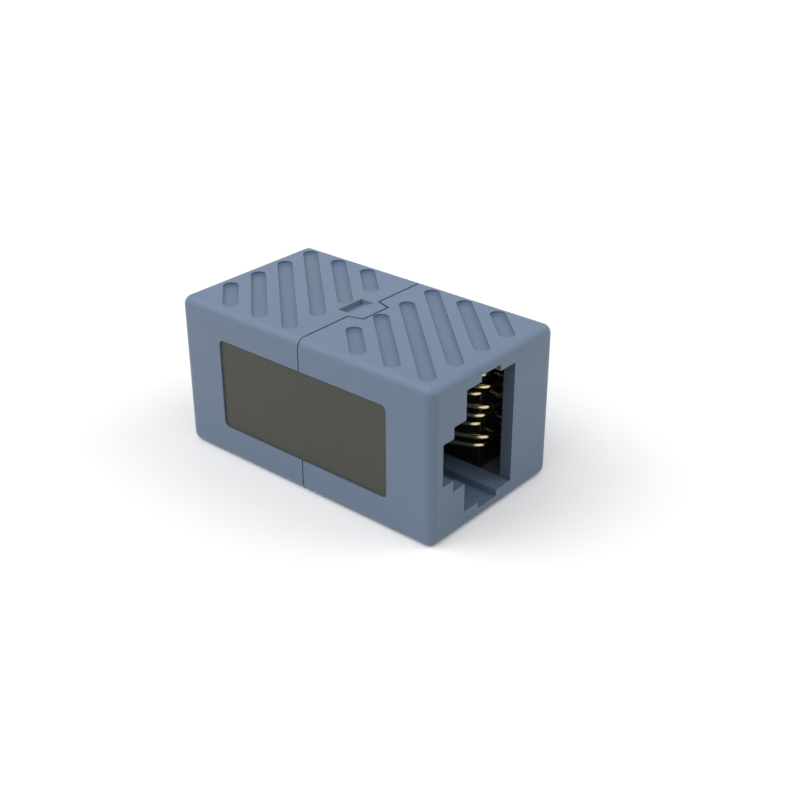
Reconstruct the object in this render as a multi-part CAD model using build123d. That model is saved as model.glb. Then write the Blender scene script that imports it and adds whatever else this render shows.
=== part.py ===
from build123d import *

import math
import os

# Inline coupler for two 8-way modular plugs, lying on its broad face.
# X runs along the plugs, Y across the body from the label side, Z up.
# The origin is the middle of the underside, on the joint plane of the two halves.

# Jack mouth, the standard 8-way plug opening, seen from the end
mouth_height = 11.75
mouth_depth = 6.75
latch_wide_height = 6.2
latch_wide_depth = 1.59
latch_narrow_height = 4.05
latch_narrow_depth = 1.41
rail_groove_width = 2.65
rail_groove_depth = 0.6
rail_groove_inset = 2.1

# Walls round the mouth and the contact carrier
latch_wall = 1.4
carrier_wall = 1.2
floor_wall = 1.22
roof_wall = 1.03
end_wall = 1.16
edge_radius = 0.9

# Lengths from the joint plane outwards
board_thickness = 1.2
flange_thickness = 1.95
plug_depth = 12.4
carrier_depth = 4.65
fit_gap = 0.05
slide_gap = 0.1

# Joint of the two halves
seam_gap = 0.2
side_seam_gap = 0.12
seam_depth = 0.25
lip_length = 1.2
lip_thickness = 0.45
lip_corner_radius = 0.6
tongue_reach = 1.47
tongue_root_width = 4.02
tongue_tip_width = 3.12
tongue_corner_radius = 0.25
finger_pocket_length = 1.58
finger_pocket_width = 3.15
finger_pocket_depth = 0.49

# Grip slots across the top of each half
slot_width = 1.45
slot_depth = 0.28
slot_floor_radius = 0.12
slot_angle = 43.45
slot_pitch = 3.58
slot_inset_seam = 2.45
slot_inset_end = 1.93
slot_inset_side = 1.7

# Label plate in the side of the body
label_length = 19.92
label_height = 8.86
label_thickness = 0.2
label_corner_radius = 0.5
label_recess_depth = 0.34

# Latch chamber and the hollows that keep the mouldings even in thickness
chamber_margin = 0.25
core_wall = 1.0
core_depth_margin = 0.9

# Contact wires, three nose depths in turn to keep the pairs apart
contact_count = 8
contact_pitch = 1.016
wire_diameter = 0.45
nose_setback = 2.77
nose_step = 0.48
nose_steps = (1, 0, 2, 0, 1, 2, 0, 1)
nose_recess = 0.04
nose_radius = 1.25
foot_radius = 0.4
wire_slope = 22.5
tip_gap = 0.65
tail_length = 0.4
outer_row_inset = 0.45
row_spacing = 1.25

# Contact carrier
block_recess = 1.08
block_setback = 0.13
block_edge_radius = 0.15
wire_gap = 0.04
front_bar_length = 0.65
front_bar_height = 1.0
comb_length = 1.35
comb_gap = 0.08
comb_reach = 0.6
comb_margin = 0.5
relief_depth = 0.6
relief_margin = 0.5

# Circuit board
board_gap = 0.15
hole_gap = 0.08
peg_radius = 0.6
peg_inset = 2.1
peg_spread = 4.0

# Worked-out places
half_length = board_thickness / 2 + fit_gap + flange_thickness + plug_depth
body_length = 2 * half_length
body_width = (latch_wall + latch_narrow_depth + latch_wide_depth + mouth_depth
              + carrier_depth + carrier_wall)
body_height = floor_wall + 2 * rail_groove_depth + mouth_height + roof_wall
jack_z = floor_wall + rail_groove_depth + mouth_height / 2
label_side_y = -body_width / 2
key_end_y = label_side_y + latch_wall
key_step_y = key_end_y + latch_narrow_depth
mouth_low_y = key_step_y + latch_wide_depth
plug_wall_y = mouth_low_y + mouth_depth
room_far_y = plug_wall_y + carrier_depth
room_half_height = mouth_height / 2 + rail_groove_depth
room_front_x = half_length - end_wall
flange_back_x = board_thickness / 2 + fit_gap
flange_front_x = flange_back_x + flange_thickness
wire_radius = wire_diameter / 2
slope = math.tan(math.radians(wire_slope))
slot_rise = math.tan(math.radians(slot_angle))
front_nose_x = half_length - nose_setback
nose_y = plug_wall_y + nose_recess
block_front_x = front_nose_x - max(nose_steps) * nose_step - foot_radius - block_setback
block_face_y = plug_wall_y + block_recess
outer_row_y = room_far_y - slide_gap - outer_row_inset
tip_x = flange_front_x + tip_gap
row_half_height = (contact_count - 1) * contact_pitch / 2


def area(low_y, high_y, half_height):
    """Rectangle in the end view, centred on the jack's height."""
    middle = Location(((low_y + high_y) / 2, jack_z))
    return middle * Rectangle(high_y - low_y, 2 * half_height)


def along(profile, start_x, end_x):
    """The end view's profile run along the plug direction."""
    return extrude(Plane.YZ.offset(start_x) * profile, amount=end_x - start_x)


def room(low_y, high_y, half_height, start_x, end_x):
    return along(area(low_y, high_y, half_height), start_x, end_x)


def turned(piece):
    """The same piece turned half round the jack's centre line into the rear half."""
    centre = Location((0, 0, jack_z))
    return centre * Rot(0, 180, 0) * centre.inverse() * piece


def contact_z(number):
    return jack_z + row_half_height - number * contact_pitch


def row_y(number):
    """Tails stand in two rows, so that both jacks' wires share one board."""
    return outer_row_y - (number % 2) * row_spacing


# Shell halves

def mouth_profile():
    """Stepped latch key, plug opening and a rail groove in the floor and roof."""
    groove_high_y = plug_wall_y - rail_groove_inset
    return (area(mouth_low_y, plug_wall_y, mouth_height / 2)
            + area(key_step_y, mouth_low_y, latch_wide_height / 2)
            + area(key_end_y, key_step_y, latch_narrow_height / 2)
            + area(groove_high_y - rail_groove_width, groove_high_y, room_half_height))


def body_block():
    block = Box(body_length, body_width, body_height, align=(Align.CENTER, Align.CENTER, Align.MIN))
    return fillet(block.edges(), edge_radius)


def sink_cores():
    """Two hollows beside the latch chamber, open towards the joint."""
    chamber_half = latch_wide_height / 2 + chamber_margin
    core_height = room_half_height - chamber_half - core_wall
    core_z = chamber_half + core_wall + core_height / 2
    profile = Sketch()
    for side in (-1, 1):
        middle = Location(((key_end_y + mouth_low_y - core_wall) / 2, jack_z + side * core_z))
        profile += middle * Rectangle(mouth_low_y - core_wall - key_end_y, core_height)
    return along(profile, 0, room_front_x - core_depth_margin)


def half_hollow():
    """Everything that is hollow in one half: mouth, latch chamber and carrier room."""
    chamber_half = latch_wide_height / 2 + chamber_margin
    hollow = along(mouth_profile(), 0, half_length + edge_radius)
    hollow += room(plug_wall_y, room_far_y, room_half_height, 0, room_front_x)
    hollow += room(key_end_y, room_far_y, room_half_height, 0, flange_front_x + fit_gap)
    hollow += room(key_end_y, mouth_low_y, chamber_half, 0, room_front_x)
    return hollow + sink_cores()


def slot_lines():
    """Centre lines of the slanting slots, each clipped to the field on one half."""
    field_start = slot_inset_seam
    field_end = half_length - slot_inset_end
    field_middle = (field_start + field_end) / 2
    reach_x = (field_end - field_start) / 2
    reach_y = body_width / 2 - slot_inset_side
    crossings = math.ceil((reach_x * slot_rise + reach_y) / slot_pitch)
    lines = []
    for step in range(-crossings, crossings):
        offset = (step + 0.5) * slot_pitch
        left = max(-reach_x, (offset - reach_y) / slot_rise)
        right = min(reach_x, (offset + reach_y) / slot_rise)
        if right > left:
            start = Vector(field_middle + left, offset - left * slot_rise)
            end = Vector(field_middle + right, offset - right * slot_rise)
            lines.append((start, end))
    return lines


def grip_slots():
    slots = []
    for start, end in slot_lines():
        middle = (start + end) / 2
        outline = SlotCenterToCenter((end - start).length, slot_width, rotation=-slot_angle)
        base = Pos(middle.X, middle.Y, body_height - slot_depth)
        slot = extrude(base * outline, amount=2 * slot_depth)
        slots.append(fillet(slot.faces().sort_by(Axis.Z)[0].edges(), slot_floor_radius))
    return slots


def tongue_outline(clearance):
    """Tapered tongue across the joint, seen from above, grown by the clearance."""
    root = tongue_root_width / 2 + clearance
    tip = tongue_tip_width / 2 + clearance
    reach = tongue_reach + clearance
    overlap = finger_pocket_length + edge_radius
    points = [(-overlap, -root), (0, -root), (reach, -tip), (reach, tip), (0, root), (-overlap, root)]
    outline = make_face(Polyline(*points, close=True))
    tip_corners = outline.vertices().sort_by(Axis.X)[-2:]
    return fillet(tip_corners, tongue_corner_radius)


def latch_tongues(side_clearance, floor_clearance):
    """Tongues of the rear half in the roof and the underside, above the lip."""
    depth = roof_wall - lip_thickness + floor_clearance
    outline = tongue_outline(side_clearance)
    top = extrude(Pos(0, 0, body_height - depth) * outline, amount=depth)
    bottom_depth = floor_wall - lip_thickness + floor_clearance
    return top + extrude(outline, amount=bottom_depth)


def finger_pockets():
    """Ramped pockets behind the joint, deepest at their back wall, in roof and underside."""
    ramp = make_face(Polyline(
        (-finger_pocket_length, body_height),
        (-finger_pocket_length, body_height - finger_pocket_depth),
        (0, body_height),
        close=True,
    ))
    plane = Plane.XZ.offset(-finger_pocket_width / 2)
    top = extrude(plane * ramp, amount=finger_pocket_width)
    return top + mirror(top, about=Plane.XY.offset(body_height / 2))


def lip_outline(growth):
    """Contour of the joint lip round the inner room."""
    height = 2 * (room_half_height + growth)
    width = room_far_y - key_end_y + 2 * growth
    middle = Location(((room_far_y + key_end_y) / 2, jack_z))
    return middle * RectangleRounded(width, height, lip_corner_radius)


def label_outline(clearance):
    """Label seen from its side of the body, grown by the clearance."""
    outline = RectangleRounded(
        label_length + 2 * clearance, label_height + 2 * clearance, label_corner_radius + clearance
    )
    return Plane.XZ.offset(-label_side_y) * Pos(0, jack_z) * outline


def label_recess():
    return extrude(label_outline(fit_gap), amount=-label_recess_depth)


def seam_groove():
    """Groove round the body on the front half's side of the joint, narrower down the sides."""
    centre = Location((0, body_height / 2))
    outer = centre * Rectangle(body_width, body_height)
    width = body_width - 2 * seam_depth
    height = body_height - 2 * seam_depth
    inner = centre * RectangleRounded(width, height, edge_radius - seam_depth)
    ring = outer - inner
    flats = centre * Rectangle(body_width - 2 * edge_radius, body_height)
    return along(ring, 0, side_seam_gap) + along(ring & flats, 0, seam_gap)


def front_shell():
    """Half with the open rebate that takes the rear half's lip and tongues."""
    kept = Pos(half_length / 2, 0, body_height / 2) * Box(half_length, body_width, body_height)
    shell = (body_block() & kept) - half_hollow() - label_recess() - seam_groove()
    shell -= along(lip_outline(lip_thickness + fit_gap), 0, lip_length)
    shell -= latch_tongues(seam_gap, fit_gap)
    for slot in grip_slots():
        shell -= slot
    return shell


def rear_shell():
    """Half with the lip, the latch tongues and their pockets."""
    kept = Pos(-half_length / 2, 0, body_height / 2) * Box(half_length, body_width, body_height)
    block = body_block()
    shell = (block & kept) - mirror(half_hollow(), about=Plane.YZ)
    lip_root = along(lip_outline(lip_thickness), -lip_length, lip_length)
    lip = lip_root - room(key_end_y, room_far_y, room_half_height, -lip_length, lip_length)
    shell += lip & body_block()
    shell += latch_tongues(0, 0) & block
    shell = shell - finger_pockets() - label_recess()
    for slot in grip_slots():
        shell -= Rot(0, 0, 180) * slot
    return shell


def side_label():
    """Thin plate on the floor of the recess, a little below the wall's face."""
    seat = Pos(0, label_recess_depth - label_thickness, 0)
    return seat * extrude(label_outline(0), amount=-label_thickness)


# Contact carriers

def wire_grooves():
    """Grooves under the block, as deep as each wire's row and open towards the wall."""
    grooves = []
    width = wire_diameter + 2 * wire_gap
    for number in range(contact_count):
        low_y = row_y(number) - wire_radius - wire_gap
        middle = Location(((low_y + room_far_y) / 2, contact_z(number)))
        profile = middle * Rectangle(room_far_y - low_y, width)
        grooves.append(along(profile, flange_back_x, block_front_x))
    return grooves


def comb():
    """Upright comb at the back of the jack that keeps the wire tips in line."""
    tip_low_y = nose_y - (front_nose_x - tip_x) * slope - wire_radius
    low_y = tip_low_y - comb_reach
    end_x = flange_front_x + comb_length
    body = room(low_y, block_face_y, row_half_height + comb_margin, flange_front_x, end_x)
    for number in range(contact_count):
        middle = Location(((low_y + block_face_y) / 2, contact_z(number)))
        gap = middle * Rectangle(block_face_y - low_y, wire_diameter + 2 * comb_gap)
        body -= along(gap, flange_front_x, end_x)
    return body


def board_pegs():
    """Two pegs, one high and one low, that set the carrier on the board."""
    pegs = []
    for place_y, place_z in peg_places():
        peg = Cylinder(peg_radius, board_thickness, align=(Align.CENTER, Align.CENTER, Align.MIN))
        reach = Pos(flange_back_x - board_thickness, place_y, place_z)
        pegs.append(reach * Rot(0, 90, 0) * peg)
    return pegs


def peg_places():
    first = (key_end_y + peg_inset, jack_z + peg_spread)
    second = ((key_end_y + plug_wall_y) / 2, jack_z - peg_spread)
    return [first, second]


def contact_carrier():
    """Black moulding with the flange, the wire block, the front channel and the comb."""
    half_height = room_half_height - slide_gap
    far_y = room_far_y - slide_gap
    channel_half = mouth_height / 2
    bar_x = room_front_x - slide_gap - front_bar_length
    carrier = room(plug_wall_y + slide_gap, far_y, half_height, flange_front_x, room_front_x - slide_gap)
    carrier -= room(plug_wall_y, block_face_y, channel_half, flange_front_x, room_front_x)
    carrier -= room(plug_wall_y, far_y - front_bar_height, channel_half, block_front_x, room_front_x)
    carrier -= room(plug_wall_y, room_far_y, channel_half, block_front_x, bar_x)
    block_edge = carrier.edges().filter_by(Axis.Z).sort_by_distance((block_front_x, block_face_y, jack_z))[0]
    carrier = fillet(block_edge, block_edge_radius)
    carrier += room(key_end_y + slide_gap, far_y, half_height, flange_back_x, flange_front_x)
    carrier += comb()
    for groove in wire_grooves():
        carrier -= groove
    relief_low_y = outer_row_y - row_spacing - relief_margin
    relief_half = row_half_height + relief_margin
    carrier -= room(relief_low_y, room_far_y, relief_half, flange_back_x, flange_back_x + relief_depth)
    for peg in board_pegs():
        carrier += peg
    return carrier


# Contact wires and board

def contact_wire(number):
    """Round spring wire: tail in the board, run under the block, nose and free tip."""
    height = contact_z(number)
    front_x = front_nose_x - nose_steps[number] * nose_step
    tail_x = -board_thickness / 2 - tail_length
    tip_y = nose_y - (front_x - tip_x) * slope
    route = FilletPolyline(
        (tail_x, row_y(number), height),
        (front_x, row_y(number), height),
        (front_x, nose_y, height),
        (tip_x, tip_y, height),
        radius=(foot_radius, nose_radius),
    )
    return sweep(Plane(route @ 0, z_dir=route % 0) * Circle(wire_radius), path=route)


def circuit_board():
    """Board between the carriers, with a plated hole for each of the wires and pegs."""
    board = room(
        key_end_y + board_gap, room_far_y - board_gap, room_half_height - board_gap,
        -board_thickness / 2, board_thickness / 2,
    )
    wire_hole = Rot(0, 90, 0) * Cylinder(wire_radius + hole_gap, 2 * board_thickness)
    peg_hole = Rot(0, 90, 0) * Cylinder(peg_radius + hole_gap, 2 * board_thickness)
    holes = [Pos(0, row_y(number), contact_z(number)) * wire_hole for number in range(contact_count)]
    holes += [Pos(0, place_y, place_z) * peg_hole for place_y, place_z in peg_places()]
    for hole in holes:
        board = board - hole - turned(hole)
    return board


def main():
    os.makedirs("parts", exist_ok=True)
    carrier = contact_carrier()
    pieces = {
        "front_shell": front_shell(),
        "rear_shell": rear_shell(),
        "side_label": side_label(),
        "front_carrier": carrier,
        "rear_carrier": turned(carrier),
        "circuit_board": circuit_board(),
    }
    for number in range(contact_count):
        wire = contact_wire(number)
        pieces[f"front_contact_{number + 1}"] = wire
        pieces[f"rear_contact_{number + 1}"] = turned(wire)
    for name, piece in pieces.items():
        export_step(piece, f"parts/{name}.step")


main()
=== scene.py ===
# %% [markdown]
# # An inline coupler for two 8-way plugs
# A small moulded box joins two network leads: each end has a jack, and sprung wires and a
# little board inside carry the eight lines across. Every piece was made to size before this
# script starts, so the lesson here is about finish and light. We load the pieces as they
# are, set the camera, and give each material its own surface, in the order in which the
# eye meets them: the blue-grey shell, the dark label, the black carrier deep in the jack,
# and the bright gold noses of the wires.

# %% Load the packed pieces
import math

import bpy
from mathutils import Matrix, Vector


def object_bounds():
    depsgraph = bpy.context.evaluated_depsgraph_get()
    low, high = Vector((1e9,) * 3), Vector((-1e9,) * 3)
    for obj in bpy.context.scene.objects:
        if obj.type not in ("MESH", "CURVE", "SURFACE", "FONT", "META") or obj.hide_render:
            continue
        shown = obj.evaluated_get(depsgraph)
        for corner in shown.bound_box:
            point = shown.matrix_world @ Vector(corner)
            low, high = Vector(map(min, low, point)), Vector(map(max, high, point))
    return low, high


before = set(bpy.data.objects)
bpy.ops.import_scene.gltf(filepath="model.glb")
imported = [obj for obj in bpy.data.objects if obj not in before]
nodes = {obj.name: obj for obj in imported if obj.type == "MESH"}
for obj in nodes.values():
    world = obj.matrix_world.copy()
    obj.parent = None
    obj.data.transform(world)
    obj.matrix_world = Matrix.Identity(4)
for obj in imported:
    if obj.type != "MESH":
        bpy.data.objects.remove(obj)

MM = 0.001
cad_low, cad_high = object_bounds()
print("pieces loaded:", len(nodes), "box in mm:", [round(side / MM, 2) for side in cad_high - cad_low])

# %% [markdown]
# ## The camera
# A product shot like this one is taken from a little above, with a lens long enough that
# the box keeps nearly parallel edges. The camera could be aimed with a constraint, but three
# turns are easier to read: round the object, up, and a slight roll. The aim point lies
# inside the box, and the distance sets how large the box appears.

# %% Camera
aim_point = Vector((2.958, 1.649, 6.245)) * MM
camera_distance = 116.29 * MM
camera_turn = math.radians(40.301)
camera_rise = math.radians(27.948)
camera_roll = math.radians(-0.123)
lens_length = 56.428
sensor_width = 36.0

camera_data = bpy.data.cameras.new("camera")
camera_data.lens = lens_length
camera_data.sensor_width = sensor_width
camera_data.clip_start = 1.0 * MM
camera = bpy.data.objects.new("camera", camera_data)
bpy.context.scene.collection.objects.link(camera)
turn = Matrix.Rotation(camera_turn, 4, "Z") @ Matrix.Rotation(math.pi / 2 - camera_rise, 4, "X")
turn = turn @ Matrix.Rotation(camera_roll, 4, "Z")
backwards = turn.to_3x3() @ Vector((0, 0, 1))
camera.matrix_world = Matrix.Translation(aim_point + camera_distance * backwards) @ turn
bpy.context.scene.camera = camera
print("camera in mm:", [round(value / MM, 1) for value in camera.matrix_world.translation])

# %% [markdown]
# ## Shader maths that reads like maths
# A material in Blender is a graph of nodes, and a long graph is hard to read as code. The
# first class below holds one output of a node. Adding or multiplying it with a number or
# with another output adds the Math node for us, so a mask can be written as an ordinary
# expression. Colours and directions don't go through it, because a Math node keeps only
# one number of the three.

# %% Socket arithmetic
class Signal:
    """One output socket. Arithmetic on it adds Math nodes to its graph."""

    def __init__(self, graph, socket):
        self.graph = graph
        self.socket = socket

    def math(self, operation, *inputs):
        return self.graph.node("ShaderNodeMath", {"operation": operation}, dict(enumerate(inputs)))

    def __add__(self, other):
        return self.math("ADD", self, other)

    def __sub__(self, other):
        return self.math("SUBTRACT", self, other)

    def __rsub__(self, other):
        return self.math("SUBTRACT", other, self)

    def __mul__(self, other):
        return self.math("MULTIPLY", self, other)

    def __pow__(self, other):
        return self.math("POWER", self, other)

    def __lt__(self, other):
        return self.math("LESS_THAN", self, other)

    def __gt__(self, other):
        return self.math("GREATER_THAN", self, other)

    def __abs__(self):
        return self.math("ABSOLUTE", self)

    __radd__ = __add__
    __rmul__ = __mul__


print("a Signal takes: + - * ** < > and abs")

# %% [markdown]
# The second class is the graph itself. All its nodes come from one method, which sets the
# node's own settings first, because some of them change which sockets there are, and then
# fills each socket with a value or with a link. A Mix node keeps a set of sockets for
# every kind of value, so its colour sockets go by number. Positions are read from the
# object, in metres, so that a grain keeps its real size on every piece.

# %% Graph
MIX_FIRST, MIX_SECOND, MIX_RESULT = 6, 7, 2
GRAIN_DETAIL = 2.0


class Graph:
    """The nodes of one material, or of the world."""

    def __init__(self, owner):
        owner.use_nodes = True
        self.owner = owner
        self.tree = owner.node_tree
        self.tree.nodes.clear()

    def node(self, kind, settings=None, inputs=None, output=0):
        made = self.tree.nodes.new(kind)
        for name, value in (settings or {}).items():
            setattr(made, name, value)
        for name, value in (inputs or {}).items():
            if isinstance(value, Signal):
                self.tree.links.new(value.socket, made.inputs[name])
            else:
                made.inputs[name].default_value = value
        return Signal(self, made.outputs[output]) if made.outputs else None

    def position(self):
        return self.node("ShaderNodeTexCoord", output="Object")

    def axes(self):
        """The three coordinates of the position, each as a signal of its own."""
        place = {"Vector": self.position()}
        return [self.node("ShaderNodeSeparateXYZ", inputs=place, output=axis) for axis in "XYZ"]

    def grain(self, size, stretch=(1.0, 1.0, 1.0)):
        """Soft noise from 0 to 1 whose lumps are about this size, in metres."""
        inputs = {0: self.position(), 1: tuple(factor / size for factor in stretch)}
        place = self.node("ShaderNodeVectorMath", {"operation": "MULTIPLY"}, inputs)
        inputs = {"Vector": place, "Scale": 1.0, "Detail": GRAIN_DETAIL}
        return self.node("ShaderNodeTexNoise", inputs=inputs)

    def ramp(self, signal, start, end):
        """Rises evenly from 0 at the start to 1 at the end, and stays level outside."""
        inputs = {"Value": signal, "From Min": start, "From Max": end}
        return self.node("ShaderNodeMapRange", inputs=inputs)

    def blend(self, mask, first, second):
        """Mixes two colours by a mask."""
        inputs = {"Factor": mask, MIX_FIRST: first, MIX_SECOND: second}
        return self.node("ShaderNodeMix", {"data_type": "RGBA"}, inputs, MIX_RESULT)

    def relief(self, height, depth):
        """A bump whose full height, 1, stands this deep, in metres."""
        return self.node("ShaderNodeBump", inputs={"Height": height, "Distance": depth}, output="Normal")

    def surface(self, **sockets):
        """Ends the material in a Principled surface."""
        inputs = {name.replace("_", " "): value for name, value in sockets.items()}
        shader = self.node("ShaderNodeBsdfPrincipled", inputs=inputs)
        self.node("ShaderNodeOutputMaterial", inputs={"Surface": shader})

    def seen(self):
        """1 for the camera's rays and for what gloss and glass show, and 0 for light that fills."""
        rays = ("Is Camera Ray", "Is Glossy Ray", "Is Transmission Ray")
        camera_ray, glossy_ray, clear_ray = [self.node("ShaderNodeLightPath", output=ray) for ray in rays]
        return camera_ray + glossy_ray + clear_ray


print("methods of a Graph:", ", ".join(name for name in vars(Graph) if name[0] != "_"))

# A colour is easiest to choose in the levels of a screen, 0 to 255, but Blender mixes
# light, so one helper undoes the curve of the screen. Another one cuts a slice out of a
# signal, which is how most of the masks below begin.

# %% Helpers
top_level = 255
curve_offset, curve_power = 0.055, 2.4


def material(name):
    return Graph(bpy.data.materials.new(name))


def srgb(*levels):
    """A colour in the red, green and blue levels of a screen, turned into light."""
    raised = [(level / top_level + curve_offset) / (1 + curve_offset) for level in levels]
    return tuple(value ** curve_power for value in raised) + (1.0,)


def grey(level):
    return (level, level, level, 1.0)


def between(signal, low, high):
    """A mask that is 1 where the signal lies in this range."""
    return (signal > low) * (signal < high)


print("screen level 128 as light:", round(srgb(128, 128, 128)[0], 3))

# %% [markdown]
# ## The paper
# The box lies on plain white paper that runs out of sight, so there is no horizon to hide.
# Paper lit at the level at which colours look right comes out a light grey. So the paper
# has two colours: the camera and reflections see the whiter one, and light that bounces
# off it uses the darker one. No lamp is turned up for it, and its soft shadow stays.

# %% Paper
paper_size = 3.0
paper_colour = grey(0.8)
paper_seen_colour = grey(1.0)

half = paper_size / 2
corners = [(-half, -half, 0), (half, -half, 0), (half, half, 0), (-half, half, 0)]
paper_mesh = bpy.data.meshes.new("paper_floor")
paper_mesh.from_pydata(corners, [], [(0, 1, 2, 3)])
paper_floor = bpy.data.objects.new("paper_floor", paper_mesh)
bpy.context.scene.collection.objects.link(paper_floor)

paper = material("white_paper")
plain = paper.node("ShaderNodeBsdfDiffuse", inputs={"Color": paper_colour})
bright = paper.node("ShaderNodeBsdfDiffuse", inputs={"Color": paper_seen_colour})
look = paper.node("ShaderNodeMixShader", inputs={0: paper.seen(), 1: plain, 2: bright})
paper.node("ShaderNodeOutputMaterial", inputs={"Surface": look})
paper_mesh.materials.append(paper.owner)
print("paper:", paper_size, "m wide")

# %% [markdown]
# ## The light
# Large white softboxes stand round the table, higher than the box, and the strongest is on
# the left. Lamps would do it, but near ones leave bright lines on every rounded edge, so
# here the world itself glows more from some directions than from others. Each glow is the
# cosine between a direction and the middle of its softbox, raised to a power: a low power
# is a broad, soft source. What the camera and reflections see of the world is plain white.

# %% Studio light
# Each softbox has a turn, in degrees from -Y towards +X, and a strength.
softboxes = {
    "left": (-50.0, 2.95),
    "front_left": (-5.0, 1.3),
    "front": (40.0, 1.35),
    "right": (130.0, 2.5),
    "back": (220.0, 0.5),
}
softbox_rise = 45.0
glow_sharpness = 10.0
fill_level = 0.08
white = grey(1.0)


def glow(graph, direction, turn):
    """The glow of one softbox, 1 at its middle."""
    around, up = math.radians(turn), math.radians(softbox_rise)
    middle = (math.sin(around) * math.cos(up), -math.cos(around) * math.cos(up), math.sin(up))
    inputs = {0: direction, 1: middle}
    facing = graph.node("ShaderNodeVectorMath", {"operation": "DOT_PRODUCT"}, inputs, "Value")
    return facing.math("MAXIMUM", facing, 0.0) ** glow_sharpness


studio = Graph(bpy.data.worlds.new("studio"))
direction = studio.node("ShaderNodeTexCoord", output="Generated")
light = fill_level
for softbox_turn, strength in softboxes.values():
    light = glow(studio, direction, softbox_turn) * strength + light
seen = studio.seen()
level = light * (1 - seen) + seen
backdrop = studio.node("ShaderNodeBackground", inputs={"Color": white, "Strength": level})
studio.node("ShaderNodeOutputWorld", inputs={"Surface": backdrop})
bpy.context.scene.world = studio.owner
print("studio:", ", ".join(softboxes))

# %% [markdown]
# ## Shell plastic
# The shell is moulded in one blue-grey plastic. The mould was spark-eroded, which leaves a
# grain finer than a tenth of a millimetre, so the surface is satin, and a slow mottle of
# colour shows where the plastic flowed. Light and shade are painted into the tone as well:
# the top is painted a shade bluer as painted light, the ends greyer as painted shade, and the
# rounded edges over the label and over the front jack paler as a painted sheen. The floors of
# the grip slots were cut rougher, the mouth's inner side wall is painted darker as painted
# shade, and the walls of the little finger pocket are painted paler as painted light.
#
# A picture could paint all that, but place alone is enough to find each spot: the slots
# lie just under the top face, and a thin slice of one coordinate picks out a wall.

# %% Shell masks
slot_field = (2.2 * MM, 13.6 * MM)
slot_field_side = 7.2 * MM
slot_heights = (cad_high.z - 0.45 * MM, cad_high.z - 0.04 * MM)
jack_height, mouth_half_height = 7.695 * MM, 5.88 * MM
mouth_wall_x, mouth_wall_y = (13.8 * MM, 14.97 * MM), (2.6 * MM, 2.7 * MM)
pocket_back_x, pocket_side_y, joint_x = -1.56 * MM, 1.56 * MM, 0.0
pocket_slack, pocket_reach = 0.05 * MM, 0.52 * MM
# Heights over which painted light tints the top face bluer.
top_light_heights = (cad_high.z - 0.7 * MM, cad_high.z - 0.1 * MM)
# Where the painted shade on the two ends begins and ends.
end_shade_x = (14.3 * MM, 14.9 * MM)

shell = material("moulded_shell")
along, across, height = shell.axes()
in_field = between(abs(along), *slot_field) * (abs(across) < slot_field_side)
in_slot = in_field * between(height, *slot_heights)
in_mouth = abs(height - jack_height) < mouth_half_height
# Painted shade on the mouth's inner side wall.
mouth_wall_shade = in_mouth * between(abs(along), *mouth_wall_x) * between(across, *mouth_wall_y)
middle = cad_high.z / 2
in_pocket = between(along, pocket_back_x - pocket_slack, joint_x)
in_pocket = in_pocket * (abs(across) < pocket_side_y + pocket_slack)
near_face = abs(height - middle) > middle - pocket_reach
off_ramp = in_pocket.math("MAXIMUM", along < pocket_back_x, abs(across) > pocket_side_y)
# Painted light on the walls of the little finger pocket, which are paler.
pocket_wall_light = in_pocket * near_face * off_ramp
# Painted light: the top face is tinted bluer, as light from above falls on it.
top_light_mask = shell.ramp(height, *top_light_heights)
# Painted shade: the ends are greyer and darker.
end_shade_mask = shell.ramp(abs(along), *end_shade_x)
print("shell mask nodes:", len(shell.tree.nodes))

# %% [markdown]
# The painted sheen on the rounded edges wants a mask that follows their curve. Going over an
# edge, the surface turns from facing up to facing out, and place alone tells how far it has
# turned: one ramp across the radius for each of the two. Their product is nothing on the flat
# faces and most on the curve. A power on the upward one leans the mask towards the top face,
# and the gain lifts its peak to 1.

# %% Edge mask
edge_radius, edge_lean, edge_gain = 0.9 * MM, 3, 3.08

edge_up = shell.ramp(height, cad_high.z - edge_radius, cad_high.z)
over_end = shell.ramp(along, cad_high.x - edge_radius, cad_high.x)
over_label = shell.ramp(across, cad_low.y + edge_radius, cad_low.y)
edge_out = over_end.math("MAXIMUM", over_end, over_label)
# Painted sheen on the rounded edges over the label and over the front jack.
edge_sheen = edge_out * edge_up ** edge_lean * edge_gain
peak_turn = math.atan(1 / math.sqrt(edge_lean))
peak = math.sin(peak_turn) * math.cos(peak_turn) ** edge_lean * edge_gain
print("edge mask at its peak:", round(peak, 2), "at", round(math.degrees(peak_turn)), "degrees")

# %% [markdown]
# With the masks made, the colours are laid over each other like thin coats, the even ones
# first and the small spots last. The grain is a bump and not a change of shape, because it
# is finer than any mesh could carry.

# %% Shell surface
shell_colour = srgb(97, 115, 137)
# Painted light: the top a shade bluer, as light from above falls on it.
top_light_colour = srgb(96, 117, 145)
# Painted shade on the ends, which are greyer and darker.
end_shade_colour = srgb(91, 109, 128)
flow_colour = srgb(90, 107, 129)
flow_share = 0.2
# Painted sheen: the rounded edges over the label and the front jack are paler.
edge_sheen_colour = srgb(106, 126, 150)
slot_colour = srgb(90, 109, 135)
# Painted shade: the mouth's inner side wall is darker.
mouth_wall_shade_colour = srgb(84, 96, 113)
# Painted light: the finger pocket's walls are paler.
pocket_wall_light_colour = srgb(110, 133, 145)
mottle_size, grain_size, slot_grain_size = 2.0 * MM, 0.09 * MM, 0.16 * MM
grain_depth = 0.0025 * MM
shell_roughness, flow_roughness, slot_roughness = 0.38, 0.08, 0.06
plastic_ior = 1.5

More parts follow.
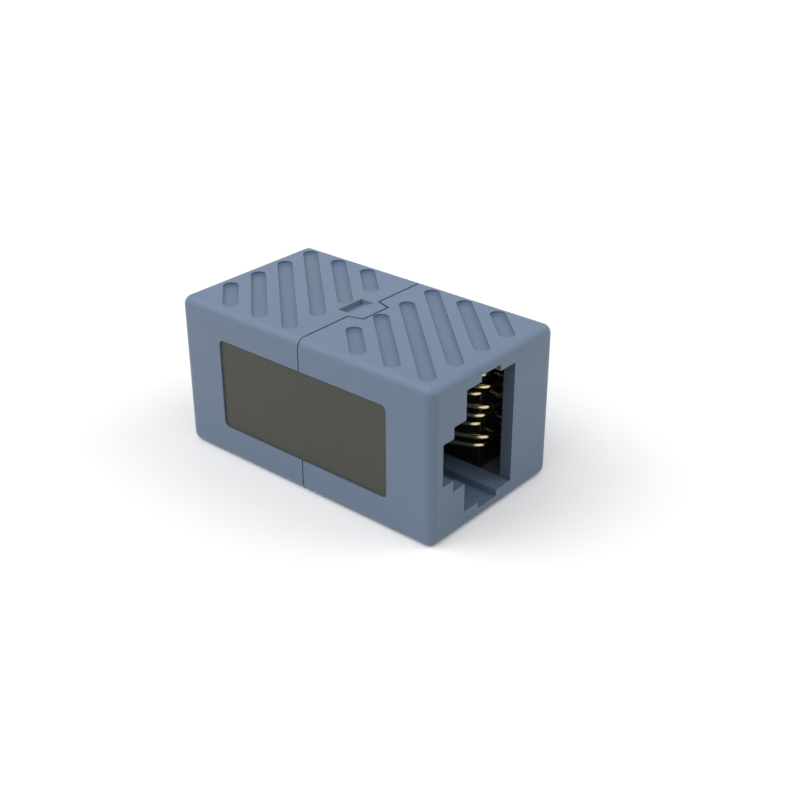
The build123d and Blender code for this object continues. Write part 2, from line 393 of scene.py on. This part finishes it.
flow = shell.grain(mottle_size)
pitted = shell.grain(grain_size) * (1 - in_slot) + shell.grain(slot_grain_size) * in_slot
coat = shell.blend(end_shade_mask, shell_colour, end_shade_colour)
coat = shell.blend(top_light_mask, coat, top_light_colour)
coat = shell.blend(flow * flow_share, coat, flow_colour)
coat = shell.blend(edge_sheen, coat, edge_sheen_colour)
coat = shell.blend(in_slot, coat, slot_colour)
coat = shell.blend(mouth_wall_shade, coat, mouth_wall_shade_colour)
shell.surface(
    Base_Color=shell.blend(pocket_wall_light, coat, pocket_wall_light_colour),
    Roughness=shell_roughness + flow_roughness * flow + slot_roughness * in_slot,
    IOR=plastic_ior,
    Normal=shell.relief(pitted, grain_depth),
)
print("shell nodes:", len(shell.tree.nodes))

# %% [markdown]
# ## Label plate
# The label is a thin matt plate that lies a little below the wall, dark olive-grey and
# bare. A real coated film is never one flat tone: it has a fine speckle of pigment, a
# slower unevenness in the coat, and a very shallow tooth that breaks up its sheen. Three
# sizes of the same noise give all of that: the smallest lumps make the specks, the largest
# wander through the tone and the gloss, and those between them raise the tooth.

# %% Label
label_colour = srgb(60, 60, 53)
label_thin_colour = srgb(64, 64, 56)
label_speck_colour = srgb(49, 49, 44)
coat_size, speck_size, tooth_size = 3.0 * MM, 0.16 * MM, 0.2 * MM
speck_limit, speck_share = 0.58, 0.6
tooth_depth = 0.0025 * MM
film_roughness, coat_roughness = 0.46, 0.08
film_ior = 1.45

label = material("label_plate")
coat = label.grain(coat_size)
specks = (label.grain(speck_size) > speck_limit) * speck_share
film = label.blend(coat, label_colour, label_thin_colour)
label.surface(
    Base_Color=label.blend(specks, film, label_speck_colour),
    Roughness=film_roughness + coat_roughness * coat,
    IOR=film_ior,
    Normal=label.relief(label.grain(tooth_size), tooth_depth),
)
print("label nodes:", len(label.tree.nodes))

# %% [markdown]
# ## Contact carrier
# The carrier is a small black moulding, polished where the wires slide. A black plastic is
# seen mostly by what it reflects, so its base colour is nearly black and the work is in the
# gloss: a low roughness that wanders slowly, as the mould's polish did, and a grain so
# shallow that it only softens the edges of a reflection. Only the floor of its front
# channel, near the mouth, is dull and painted grey: a painted pool of the light that comes
# in through the mouth.

# %% Carrier
carrier_colour = (0.016, 0.016, 0.019, 1.0)
carrier_flow_colour = (0.020, 0.020, 0.023, 1.0)
# Painted light: a grey pool of light on the channel floor near the mouth.
lit_floor_colour = (0.068, 0.071, 0.090, 1.0)
carrier_flow_size, polish_size, carrier_grain_size = 1.5 * MM, 0.8 * MM, 0.12 * MM
carrier_grain_depth = 0.0008 * MM
polished_roughness, wander_roughness, lit_floor_roughness = 0.14, 0.08, 0.3
lit_floor_x, lit_floor_heights = (11.6 * MM, 11.75 * MM), (5.8 * MM, 5.95 * MM)

carrier = material("black_carrier")
along, across, height = carrier.axes()
on_channel = between(abs(height - jack_height), *lit_floor_heights)
# Painted light on the channel floor near the mouth, which is also rougher there.
lit_floor = on_channel * carrier.ramp(abs(along), *lit_floor_x)
black = carrier.blend(carrier.grain(carrier_flow_size), carrier_colour, carrier_flow_colour)
polish = carrier.grain(polish_size)
carrier.surface(
    Base_Color=carrier.blend(lit_floor, black, lit_floor_colour),
    Roughness=polished_roughness + wander_roughness * polish + lit_floor_roughness * lit_floor,
    IOR=plastic_ior,
    Normal=carrier.relief(carrier.grain(carrier_grain_size), carrier_grain_depth),
)
print("carrier nodes:", len(carrier.tree.nodes))

# %% [markdown]
# ## Contact wires
# The wires are bronze, drawn round through a die and plated with gold. A metal has no
# colour of its own apart from its reflection, so the base colour is the tint of the gold,
# and metallic is full. The die left hair-fine lines along each wire: a noise stretched
# twentyfold along the plug axis looks like them, and turns the reflection a little matt.

# %% Contacts
gold_colour = (0.78, 0.66, 0.38, 1.0)
worn_gold_colour = (0.70, 0.58, 0.32, 1.0)
drawn_size, drawn_stretch = 0.05 * MM, (0.05, 1.0, 1.0)
drawn_depth = 0.0003 * MM
gold_roughness, drawn_roughness = 0.17, 0.06

contact = material("contact_gold")
drawn = contact.grain(drawn_size, stretch=drawn_stretch)
contact.surface(
    Base_Color=contact.blend(drawn, gold_colour, worn_gold_colour),
    Metallic=1.0,
    Roughness=gold_roughness + drawn_roughness * drawn,
    Normal=contact.relief(drawn, drawn_depth),
)
print("contact nodes:", len(contact.tree.nodes))

# %% [markdown]
# ## Circuit board
# The board is hidden when the box is closed, but it is finished like the rest, for a look
# inside. Green lacquer covers it, with the weave of the glass cloth faintly under it, and
# each hole has a plated ring. The holes stand in two rows at an even pitch, so one ring
# can be drawn by distance and repeated: ping-pong folds the whole row onto one hole.

# %% Board
lacquer_colour = (0.010, 0.062, 0.026, 1.0)
weave_colour = (0.014, 0.078, 0.034, 1.0)
ring_colour = (0.75, 0.63, 0.38, 1.0)
pitch = 1.016 * MM
row_middle, row_offset = 6.125 * MM, 0.625 * MM
ring_radius, rows_end = 0.45 * MM, 4 * pitch
weave_size, weave_depth = 0.3 * MM, 0.0025 * MM
lacquer_roughness, weave_roughness = 0.28, 0.06

board = material("solder_lacquer")
along, across, height = board.axes()
upward = height - (jack_height - rows_end)
off_hole = upward.math("PINGPONG", upward, pitch / 2)
off_middle = pitch / 2 - off_hole
off_row = abs(abs(across - row_middle) - row_offset)
distance = (off_middle ** 2 + off_row ** 2) ** 0.5
ring = (distance < ring_radius) * (abs(height - jack_height) < rows_end)
weave = board.grain(weave_size)
board.surface(
    Base_Color=board.blend(ring, board.blend(weave, lacquer_colour, weave_colour), ring_colour),
    Metallic=ring,
    Roughness=lacquer_roughness + weave_roughness * weave,
    Normal=board.relief(weave, weave_depth),
)
print("board nodes:", len(board.tree.nodes))

# %% [markdown]
# ## Dressing the pieces
# Every piece came with one plain material. Its name says what it is made of, so one table
# from a word to a finish dresses them all, and a wire added later would be dressed too.

# %% Dress
finishes = {"shell": shell, "label": label, "carrier": carrier, "board": board, "contact": contact}
for name, piece in nodes.items():
    kind = next(kind for kind in finishes if kind in name)
    piece.data.materials.clear()
    piece.data.materials.append(finishes[kind].owner)
print("dressed:", len(nodes), "pieces in", len(finishes), "finishes")

# %% [markdown]
# ## Hand over
# The Standard view shows colours as they were written, where the default one would soften
# the whites.

# %% Hand over
bpy.context.scene.view_settings.view_transform = "Standard"
